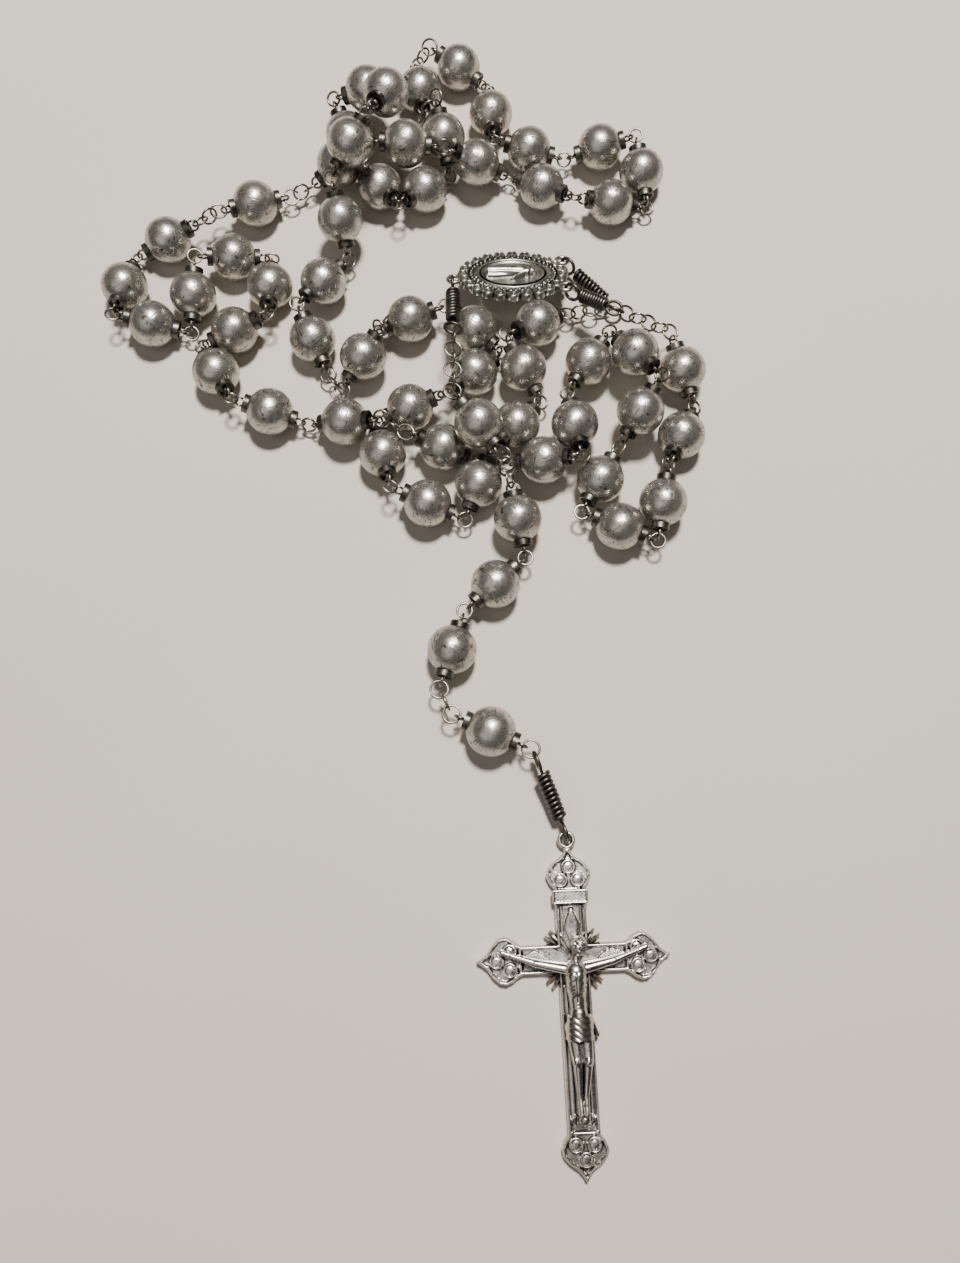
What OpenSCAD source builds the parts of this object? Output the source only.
// A five-decade rosary laid down loosely on a table: a closed loop of five decades joined at a centre
// medal, and a pendant chain with the crucifix at its end.  Z is up and the table is the plane Z = 0.
// Every bead turns on its own eye pin, and every pin, ring and coil link is a separate closed piece.

/* [Beads] */
// Diameter of every bead
bead_d = 8; // [7.9:0.05:8]
// Diameter of the bore through a bead
bore_d = 0.72; // [0.7:0.01:0.75]
// Diameter of a bead cap
cap_d = 3.2; // [2.8:0.1:3.4]
// Height of a bead cap along the pin
cap_h = 0.9; // [0.7:0.1:1]

/* [Wire] */
// Diameter of the wire of the eyes and the rings
wire_d = 0.4; // [0.36:0.02:0.44]
// Diameter of a pin's straight shaft
shaft_d = 0.6; // [0.56:0.02:0.6]
// Radius of an eye, to the middle of its wire
eye_r = 0.9; // [0.88:0.01:0.92]
// Distance from a bead's centre to the centre of its pin's eye
eye_reach = 5.3; // [5.25:0.05:5.35]
// Radius of the ring between two neighbouring beads, to the middle of its wire
ring_r = 1.2; // [1.18:0.01:1.22]
// Radius of the rings beside an Our Father bead, to the middle of their wire
chain_ring_r = 1.4; // [1.38:0.01:1.42]

/* [Coil links] */
// Diameter of the core wire of a coil link
core_d = 0.6; // [0.5:0.05:0.65]
// Radius of the closed loop at each end of a coil link
loop_r = 1.4; // [1.35:0.05:1.45]
// Outer diameter of the wire wound round the core
wrap_d = 2.6; // [2.4:0.1:2.8]
// Number of turns of the wound wire
wrap_turns = 9; // [7:1:10]

/* [Medal] */
// Length of the medal's frame
medal_l = 20.6; // [19:0.2:21]
// Width of the medal's frame
medal_w = 15.6; // [14:0.2:16]
// Thickness of the medal's frame
medal_t = 1.2; // [1:0.1:1.4]

/* [Crucifix] */
// Length of the cross, from the top tip to the bottom tip
cross_l = 47.5; // [44:0.5:50]
// Width of the cross, from tip to tip of its arms
cross_w = 29.5; // [27:0.5:31]
// Thickness of the cross
cross_t = 1.8; // [1.4:0.1:2.2]
// Width of the stem of the cross
stem_w = 4.8; // [4.4:0.1:5.2]

/* [Display] */
// Which sub-part to draw, or all of them

/* [Hidden] */
$fn = 48;
silver = [0.62, 0.60, 0.57];
dark_silver = [0.26, 0.25, 0.24];
pearl = [0.66, 0.63, 0.59];

// Places of the ring at each end of a bead, in order along the chain, as [x, y, z] points on a half
// millimetre grid.  A bead lies midway between two neighbouring points.
DECADE_POINTS = [
    [[15.5, 58.5, 2.5], [4.5, 52, 6.5], [10.5, 41, 3], [2, 31.5, 5.5], [-2.5, 19.5, 3], [-15, 24.5, 5.5],
     [-18, 37.5, 2.5], [-6, 41.5, 5.5], [4, 50.5, 3], [-6, 58.5, 5], [-18.5, 54, 3.5]],
    [[-26.5, 46.5, 2.5], [-32, 58.5, 5.5], [-23.5, 68.5, 3.5], [-26, 80, 10.5], [-19, 89.5, 16.5], [-14, 100.5, 10.5],
     [-27, 100.5, 6], [-22, 88.5, 2], [-14.5, 78, 6], [-5.5, 87, 2.5], [-8, 98.5, 8.5]],
    [[-9.5, 113, 5], [1.5, 105.5, 3], [2.5, 92.5, 5], [15.5, 90, 3], [28.5, 93, 5.5],
     [30.5, 80, 2.5], [17, 80, 5.5], [5.5, 86.5, 2.5], [-6.5, 88, 8.5], [-20, 89, 9], [-31, 84, 3]],
    [[-50, 75, 5.5], [-62, 69.5, 2.5], [-64, 56.5, 5.5], [-51, 54.5, 2.5], [-50.5, 68, 5.5],
     [-37.5, 69.5, 2.5], [-37, 56.5, 5.5], [-49, 52, 2.5], [-42.5, 40.5, 5.5], [-29.5, 37, 2.5],
     [-16.5, 36, 7]],
    [[4.5, 30, 2], [17, 29, 7.5], [15, 42, 4.5], [22.5, 53.5, 5], [30.5, 43, 9], [23.5, 32, 4.5],
     [17, 20.5, 4], [29.5, 15.5, 4], [31.5, 28.5, 5.5], [37, 40, 3], [33, 53, 5.5]]];
FATHER_POINTS = [
    [[-16.5, 54, 7], [-24, 43.5, 2.5]],
    [[-10.5, 97.5, 5], [-12, 110.5, 3.5]],
    [[-34.5, 82, 3], [-47, 77.5, 5]],
    [[-12.5, 34, 6], [0, 30.5, 2]]];
// The pendant: its upper Our Father bead, three Hail Mary beads, and its lower Our Father bead
UPPER_FATHER = [[-4.5, 39, 11], [4, 28.5, 9]];
HAIL_POINTS = [[5, 25.5, 6], [7.5, 12.5, 4], [-2.5, 3.5, 4], [-6.5, -9.5, 4]];
LOWER_FATHER = [[-4.5, -13.5, 4], [8, -19, 4]];
// Loop centres at the two ends of each coil link
COIL_A = [[15.8, 68.2, 2.2], [24, 60, 1.8]];
COIL_B = [[16, 60, 6.8], [23, 55, 9.5]];
COIL_C = [[-4.8, 62.1, 5.7], [-4.5, 50.8, 10.5]];
COIL_D = [[9, -20.8, 3.6], [13.3, -31.6, 1.8]];

BAIL = [13.5, -32.9, 1.3];
MEDAL = [5.8, 64.8, 4.6];
medal_tilt = 27;
medal_loop_r = 1.1;
medal_loop_d = 0.7;
// Centres of the medal's three loops in its own plane, measured from its middle
MEDAL_LOOPS = [[9, 5], [9.2, -4], [-10.4, -1.5]];
cross_turn = 2.5;
// Moves the whole layout so that the middle of its footprint is the origin
SHIFT = [14, -16.51, 0];
UP = [0, 0, 1];

bead_r = bead_d / 2;
hole_r = shaft_d / 2 + 0.1;
cap_gap = 0.05;
cap_wall = 0.3;
core_gap = 0.06;
shaft_end = eye_reach - eye_r + 0.05;
medal_chain = 3;
long_medal_chain = 4;
pendant_chain = 5;

function unit(v) = v / norm(v);
function toward(a, b) = unit(b - a);
function middle(a, b) = (a + b) / 2;
// The part of direction n that is square to direction u
function square_to(n, u) = unit(n - (n * u) * u);
// Axis of a ring that joins a piece heading a to a piece heading b: it lies across the bend
function ring_axis(a, b) =
    let (t = unit(a + b), lift = square_to(UP, t), bend = cross(a, b), turn = norm(bend))
    let (side = (bend * lift >= 0) ? 1 : -1)
    let (lean = (a * b > 0) ? max(0, 1 - asin(min(1, turn)) / 60) : 0)
    unit(side * bend * 2 + lift * lean);
// Axis of a ring between two rings a and b whose axes are na and nb
function between_axis(a, na, b, nb) =
    unit(cross(toward(a, b), na + ((na * nb >= 0) ? 1 : -1) * nb));

// Directions of travel into and out of a decade, and at each of its points
function decade_in(i) = (i == 0) ? toward(COIL_A[1], DECADE_POINTS[0][0])
    : toward(FATHER_POINTS[i - 1][1], DECADE_POINTS[i][0]);
function decade_out(i) = (i == 4) ? toward(DECADE_POINTS[4][10], COIL_B[1])
    : toward(DECADE_POINTS[i][10], FATHER_POINTS[i][0]);
function travel(p, k, first, last) = (k == 0) ? first : (k == len(p)) ? last : toward(p[k - 1], p[k]);
function axes(p, first, last) =
    [for (k = [0:len(p) - 1]) ring_axis(travel(p, k, first, last), travel(p, k + 1, first, last))];
function decade_axes(i) = axes(DECADE_POINTS[i], decade_in(i), decade_out(i));
function father_axes(i) = axes(FATHER_POINTS[i], toward(DECADE_POINTS[i][10], FATHER_POINTS[i][0]),
    toward(FATHER_POINTS[i][1], DECADE_POINTS[i + 1][0]));
upper_axes = axes(UPPER_FATHER, toward(COIL_C[1], UPPER_FATHER[0]), toward(UPPER_FATHER[1], HAIL_POINTS[0]));
hail_first_axis = ring_axis(toward(UPPER_FATHER[1], HAIL_POINTS[0]), toward(HAIL_POINTS[0], HAIL_POINTS[1]));
hail_axes = [hail_first_axis, UP, UP, UP];

// Turns the Z axis to direction n
module face(n) rotate([0, acos(n[2]), atan2(n[1], n[0])]) children();

module ring(centre, axis, r, d) translate(centre) face(axis)
    rotate_extrude() translate([r, 0]) circle(d = d);

module bead(a, b) color(pearl) translate(middle(a, b)) face(toward(a, b)) difference() {
    sphere(d = bead_d);
    cylinder(d = bore_d, h = bead_d + 1, center = true);
}

// A straight wire through a bead, with a closed eye at each end turned to suit the ring it holds
module pin(a, b, axis_a, axis_b) {
    u = toward(a, b);
    c = middle(a, b);
    color(silver) union() {
        translate(c) face(u) cylinder(d = shaft_d, h = 2 * shaft_end, center = true);
        ring(c - u * eye_reach, cross(u, square_to(axis_a, u)), eye_r, wire_d);
        ring(c + u * eye_reach, cross(u, square_to(axis_b, u)), eye_r, wire_d);
    }
}

function on_bead(r) = sqrt(pow(bead_r + cap_gap, 2) - r * r);
cap_r = cap_d / 2;
cap_rim = on_bead(cap_r) + cap_h;
cap_floor = bead_r + cap_gap + 0.1;
seat_steps = 4;
// A small turned cup that sits on the bead round the pin and hides the foot of the eye
module cap_cup() rotate_extrude() polygon(concat(
    [for (k = [0:seat_steps]) let (r = hole_r + (cap_r - hole_r) * k / seat_steps) [r, on_bead(r)]],
    [[cap_r, cap_rim], [cap_r - cap_wall, cap_rim], [cap_r - cap_wall, cap_floor + cap_wall],
     [cap_r - 2 * cap_wall, cap_floor], [hole_r, cap_floor]]));
module caps(a, b) color(dark_silver) translate(middle(a, b)) {
    face(toward(a, b)) cap_cup();
    face(toward(b, a)) cap_cup();
}

module small_ring(centre, axis) color(silver) ring(centre, axis, ring_r, wire_d);
module chain_ring(centre, axis) color(silver) ring(centre, axis, chain_ring_r, wire_d);

// Rings in line from a loop to a fixed ring, each turned a quarter turn from the one before
module straight_rings(loop, count, last, last_axis) {
    e = toward(loop, last);
    first_axis = unit(cross(e, last_axis));
    second_axis = unit(cross(e, first_axis));
    for (k = [1:count])
        chain_ring(last + (loop - last) * k / (count + 1), (k % 2 == 1) ? first_axis : second_axis);
}
function straight_axis(loop, count, last, last_axis) =
    let (e = toward(loop, last), first_axis = unit(cross(e, last_axis)))
    (count % 2 == 1) ? first_axis : unit(cross(e, first_axis));

// The core wire of a coil link with a closed loop at each end
module coil_core(ends, axis_a, axis_b) {
    u = toward(ends[0], ends[1]);
    reach = norm(ends[1] - ends[0]) - 2 * loop_r + 0.2;
    color(dark_silver) union() {
        translate(middle(ends[0], ends[1])) face(u)
            cylinder(d = core_d - 0.06, h = reach, center = true);
        ring(ends[0], axis_a, loop_r, core_d);
        ring(ends[1], axis_b, loop_r, core_d);
    }
}
// The wire wound round the core, shown as closed turns joined side by side
module coil_wrap(ends) {
    u = toward(ends[0], ends[1]);
    length = norm(ends[1] - ends[0]) - 2 * (loop_r + core_d / 2) - 0.4;
    pitch = length / wrap_turns;
    inner = core_d / 2 + core_gap;
    turn_r = (wrap_d / 2 - inner) / 2;
    color(dark_silver) translate(middle(ends[0], ends[1])) face(u) rotate_extrude() union() {
        translate([inner, -length / 2]) square([turn_r, length]);
        for (k = [0:wrap_turns - 1])
            translate([inner + turn_r, (k + 0.5) * pitch - length / 2]) circle(r = turn_r);
    }
}

module in_medal() translate(MEDAL) rotate([-medal_tilt, 0, 0]) children();
function medal_point(p) = MEDAL + [p[0], p[1] * cos(medal_tilt), -p[1] * sin(medal_tilt)];
medal_axis = [0, sin(medal_tilt), cos(medal_tilt)];
function oval(a, b, n) = [for (k = [0:n - 1]) [a * cos(360 * k / n), b * sin(360 * k / n)]];
relief_a = 5.6;
relief_b = 4;
relief_gap = 0.05;
scallops = 24;
scallop_r = 1.1;
oval_sides = 72;
frame_a = medal_l / 2 - scallop_r - 0.4;
frame_b = medal_w / 2 - scallop_r;
module frame_outline() {
    polygon(oval(frame_a, frame_b, oval_sides));
    for (p = oval(frame_a, frame_b, scallops)) translate(p) circle(r = scallop_r);
}
module medal_frame() color(silver) in_medal() union() {
    difference() {
        translate([0, 0, -medal_t / 2]) linear_extrude(medal_t) frame_outline();
        translate([0, 0, -medal_t]) linear_extrude(2 * medal_t)
            polygon(oval(relief_a + relief_gap, relief_b + relief_gap, oval_sides));
        for (p = oval(frame_a - 0.2, frame_b - 0.2, scallops))
            translate([p[0], p[1], -medal_t]) cylinder(r = 0.5, h = 2 * medal_t);
        translate([0, 0, medal_t / 2 - 0.3]) linear_extrude(medal_t) difference() {
            polygon(oval(frame_a - 1, frame_b - 1, oval_sides));
            polygon(oval(relief_a + 0.5, relief_b + 0.5, oval_sides));
        }
    }
    for (p = MEDAL_LOOPS) ring([p[0], p[1], 0], UP, medal_loop_r, medal_loop_d);
}
// The oval plate with a standing robed figure whose head points to +X
module medal_relief() color(silver) in_medal() union() {
    translate([0, 0, -medal_t / 2 + 0.1]) linear_extrude(medal_t * 0.6) polygon(oval(relief_a, relief_b, oval_sides));
    translate([-4.2, 0, 0]) rotate([0, 90, 0]) cylinder(r1 = 1.5, r2 = 0.8, h = 6.8);
    translate([3.4, 0, 0.55]) sphere(r = 0.75);
    translate([1.6, 0, 0.5]) rotate([0, -65, 38]) cylinder(r1 = 0.35, r2 = 0.5, h = 2);
    translate([1.6, 0, 0.5]) rotate([0, -65, -38]) cylinder(r1 = 0.35, r2 = 0.5, h = 2);
}

// Places a piece drawn upright (top to +Y, front to +Z) with its bail ring at the origin
module in_crucifix() translate([BAIL[0], BAIL[1], 0]) rotate([0, 0, cross_turn]) children();
top_y = -1.1;
bottom_y = top_y - cross_l;
arm_y = -17.7;
arm_w = 4.2;
end_r = 3.2;
lobe_r = 1.3;
rim_w = 0.55;
recess = 0.35;
// Rounded end with a three-lobed tip, drawn pointing to +Y with the tip at the origin
module cross_end(inset, h) {
    translate([0, -end_r - lobe_r, 0]) cylinder(r = end_r - inset, h = h);
    translate([0, -lobe_r, 0]) cylinder(r = lobe_r - inset, h = h);
    for (x = [-1, 1]) translate([x * end_r * 0.75, -end_r - lobe_r * 0.2, 0]) cylinder(r = lobe_r - inset, h = h);
}
module cross_solid(inset, h) {
    translate([-stem_w / 2 + inset, bottom_y + end_r, 0]) cube([stem_w - 2 * inset, cross_l - 2 * end_r, h]);
    translate([-cross_w / 2 + end_r, arm_y - arm_w / 2 + inset, 0])
        cube([cross_w - 2 * end_r, arm_w - 2 * inset, h]);
    translate([0, top_y, 0]) cross_end(inset, h);
    translate([0, bottom_y, 0]) rotate(180) cross_end(inset, h);
    for (side = [-1, 1]) translate([side * cross_w / 2, arm_y, 0]) rotate(-90 * side) cross_end(inset, h);
}
ray_l = 5.6;
ray_w = 0.6;
ray_t = 0.9;
module crucifix_cross() color(silver) in_crucifix() union() {
    difference() {
        cross_solid(0, cross_t);
        translate([0, 0, cross_t - recess]) cross_solid(rim_w, cross_t);
    }
    // Fans of rays in the four corners where the arms cross the stem
    for (quarter = [0:3], ray = [-1:1])
        translate([0, arm_y, cross_t / 2]) rotate([0, 0, 45 + 90 * quarter + 14 * ray])
            translate([0, -ray_w / 2, -ray_t / 2]) cube([ray_l - abs(ray) * 0.8, ray_w, ray_t]);
    ring([0, 0, BAIL[2]], UP, medal_loop_r, medal_loop_d);
}
plate_y = -8.6;
plate_w = 5.6;
plate_h = 2.2;
plate_t = 0.6;
// A blank name plate above the figure
module crucifix_titulus() color(silver) in_crucifix()
    translate([-plate_w / 2, plate_y - plate_h / 2, cross_t + 0.02]) cube([plate_w, plate_h, plate_t]);

module limb(a, b, r1, r2) translate(a) face(toward(a, b)) cylinder(r1 = r1, r2 = r2, h = norm(b - a));
module joint(p, r) translate(p) sphere(r = r);
body_z = cross_t + 1.6;
// The figure, built from tapered limbs and round joints
module crucifix_corpus() color(silver) in_crucifix() union() {
    joint([0.5, arm_y + 1.5, body_z + 0.5], 1.35);
    limb([0.4, arm_y + 0.8, body_z + 0.3], [0, arm_y - 1.4, body_z], 0.6, 0.9);
    limb([0, arm_y - 1, body_z], [0, arm_y - 6.2, body_z], 1.75, 1.25);
    limb([0, arm_y - 5.6, body_z], [0, arm_y - 9, body_z], 1.3, 1.8);
    limb([0, arm_y - 7.4, body_z], [0, arm_y - 10.6, body_z], 1.85, 2.05);
    for (side = [-1, 1]) {
        joint([side * 1.7, arm_y - 1.65, body_z + 0.1], 0.95);
        limb([side * 1.7, arm_y - 1.6, body_z], [side * 6, arm_y - 0.6, body_z - 0.3], 0.8, 0.62);
        joint([side * 6, arm_y - 0.6, body_z - 0.3], 0.66);
        limb([side * 6, arm_y - 0.6, body_z - 0.3], [side * 10.2, arm_y + 0.5, body_z - 0.7], 0.6, 0.42);
        joint([side * 10.4, arm_y + 0.55, body_z - 0.7], 0.75);
        limb([side * 0.9, arm_y - 9.8, body_z], [side * 0.8, arm_y - 14.6, body_z + 0.6], 1.1, 0.85);
        joint([side * 0.8, arm_y - 14.6, body_z + 0.6], 0.9);
        limb([side * 0.8, arm_y - 14.6, body_z + 0.6], [side * 0.45, arm_y - 19.8, body_z - 0.4], 0.8, 0.5);
        limb([side * 0.45, arm_y - 19.4, body_z - 0.4], [side * 0.4, arm_y - 21.8, body_z - 0.2], 0.55, 0.62);
    }
    joint([0, arm_y - 21.9, body_z - 0.5], 1.1);
}

module decade_beads(i) for (k = [0:9]) bead(DECADE_POINTS[i][k], DECADE_POINTS[i][k + 1]);
module decade_pins() for (i = [0:4], k = [0:9])
    pin(DECADE_POINTS[i][k], DECADE_POINTS[i][k + 1], decade_axes(i)[k], decade_axes(i)[k + 1]);
module decade_caps() for (i = [0:4], k = [0:9]) caps(DECADE_POINTS[i][k], DECADE_POINTS[i][k + 1]);
module decade_rings() for (i = [0:4], k = [1:9]) small_ring(DECADE_POINTS[i][k], decade_axes(i)[k]);

module father_bead(i) bead(FATHER_POINTS[i][0], FATHER_POINTS[i][1]);
module our_father_pins() for (i = [0:3])
    pin(FATHER_POINTS[i][0], FATHER_POINTS[i][1], father_axes(i)[0], father_axes(i)[1]);
module our_father_caps() for (i = [0:3]) caps(FATHER_POINTS[i][0], FATHER_POINTS[i][1]);
module three_rings(a, na, b, nb) {
    chain_ring(a, na);
    chain_ring(middle(a, b), between_axis(a, na, b, nb));
    chain_ring(b, nb);
}
module our_father_chains() for (i = [0:3]) {
    three_rings(DECADE_POINTS[i][10], decade_axes(i)[10], FATHER_POINTS[i][0], father_axes(i)[0]);
    three_rings(FATHER_POINTS[i][1], father_axes(i)[1], DECADE_POINTS[i + 1][0], decade_axes(i + 1)[0]);
}

first_point = DECADE_POINTS[0][0];
last_point = DECADE_POINTS[4][10];
first_axis = decade_axes(0)[0];
last_axis = decade_axes(4)[10];
module medal_chain_rings() {
    straight_rings(COIL_A[1], medal_chain, first_point, first_axis);
    chain_ring(first_point, first_axis);
    straight_rings(COIL_B[1], long_medal_chain, last_point, last_axis);
    chain_ring(last_point, last_axis);
}
function coil_way(c) = toward(c[0], c[1]);
// Axis of a coil's loop so that it stands square to the ring axis n
function loop_axis(c, n) = unit(cross(coil_way(c), square_to(n, coil_way(c))));
module medal_coil_cores() {
    coil_core(COIL_A, loop_axis(COIL_A, medal_axis), unit(cross(coil_way(COIL_A), first_point - COIL_A[1])));
    coil_core(COIL_B, loop_axis(COIL_B, medal_axis), unit(cross(coil_way(COIL_B), last_point - COIL_B[1])));
}
module medal_coil_wraps() {
    coil_wrap(COIL_A);
    coil_wrap(COIL_B);
}
module pendant_coil_core() coil_core(COIL_C, loop_axis(COIL_C, medal_axis),
    loop_axis(COIL_C, straight_axis(COIL_C[1], pendant_chain, UPPER_FATHER[0], upper_axes[0])));
module pendant_coil_wrap() coil_wrap(COIL_C);
module pendant_top_rings() {
    straight_rings(COIL_C[1], pendant_chain, UPPER_FATHER[0], upper_axes[0]);
    chain_ring(UPPER_FATHER[0], upper_axes[0]);
    three_rings(UPPER_FATHER[1], upper_axes[1], HAIL_POINTS[0], hail_axes[0]);
}
module upper_bead() bead(UPPER_FATHER[0], UPPER_FATHER[1]);
module upper_pin() pin(UPPER_FATHER[0], UPPER_FATHER[1], upper_axes[0], upper_axes[1]);
module upper_caps() caps(UPPER_FATHER[0], UPPER_FATHER[1]);
module hail_bead(k) bead(HAIL_POINTS[k], HAIL_POINTS[k + 1]);
module hail_pin(k) pin(HAIL_POINTS[k], HAIL_POINTS[k + 1], hail_axes[k], hail_axes[k + 1]);
module hail_caps(k) caps(HAIL_POINTS[k], HAIL_POINTS[k + 1]);
module hail_ring(k) small_ring(HAIL_POINTS[k], UP);
module lower_bead() bead(LOWER_FATHER[0], LOWER_FATHER[1]);
module lower_pin() pin(LOWER_FATHER[0], LOWER_FATHER[1], UP, UP);
module lower_caps() caps(LOWER_FATHER[0], LOWER_FATHER[1]);
module lower_rings() {
    three_rings(HAIL_POINTS[3], UP, LOWER_FATHER[0], UP);
    chain_ring(LOWER_FATHER[1], UP);
}
module crucifix_coil_core() coil_core(COIL_D, loop_axis(COIL_D, UP), loop_axis(COIL_D, UP));
module crucifix_coil_wrap() coil_wrap(COIL_D);

translate(SHIFT) decade_beads(0);  // decade_1_beads
translate(SHIFT) decade_beads(1);  // decade_2_beads
translate(SHIFT) decade_beads(2);  // decade_3_beads
translate(SHIFT) decade_beads(3);  // decade_4_beads
translate(SHIFT) decade_beads(4);  // decade_5_beads
translate(SHIFT) decade_pins();
translate(SHIFT) decade_caps();
translate(SHIFT) decade_rings();
translate(SHIFT) father_bead(0);  // our_father_1_bead
translate(SHIFT) father_bead(1);  // our_father_2_bead
translate(SHIFT) father_bead(2);  // our_father_3_bead
translate(SHIFT) father_bead(3);  // our_father_4_bead
translate(SHIFT) our_father_pins();
translate(SHIFT) our_father_caps();
translate(SHIFT) our_father_chains();
translate(SHIFT) medal_chain_rings();
translate(SHIFT) medal_frame();
translate(SHIFT) medal_relief();
translate(SHIFT) medal_coil_cores();
translate(SHIFT) medal_coil_wraps();
translate(SHIFT) pendant_coil_core();
translate(SHIFT) pendant_coil_wrap();
translate(SHIFT) pendant_top_rings();
translate(SHIFT) upper_bead();  // upper_father_bead
translate(SHIFT) upper_pin();  // upper_father_pin
translate(SHIFT) upper_caps();  // upper_father_caps
translate(SHIFT) hail_bead(0);  // hail_1_bead
translate(SHIFT) hail_pin(0);  // hail_1_pin
translate(SHIFT) hail_caps(0);  // hail_1_caps
translate(SHIFT) hail_bead(1);  // hail_2_bead
translate(SHIFT) hail_pin(1);  // hail_2_pin
translate(SHIFT) hail_caps(1);  // hail_2_caps
translate(SHIFT) hail_bead(2);  // hail_3_bead
translate(SHIFT) hail_pin(2);  // hail_3_pin
translate(SHIFT) hail_caps(2);  // hail_3_caps
translate(SHIFT) hail_ring(1);  // hail_2_ring
translate(SHIFT) hail_ring(2);  // hail_3_ring
translate(SHIFT) lower_rings();  // lower_father_rings
translate(SHIFT) lower_bead();  // lower_father_bead
translate(SHIFT) lower_pin();  // lower_father_pin
translate(SHIFT) lower_caps();  // lower_father_caps
translate(SHIFT) crucifix_coil_core();
translate(SHIFT) crucifix_coil_wrap();
translate(SHIFT) crucifix_cross();
translate(SHIFT) crucifix_titulus();
translate(SHIFT) crucifix_corpus();
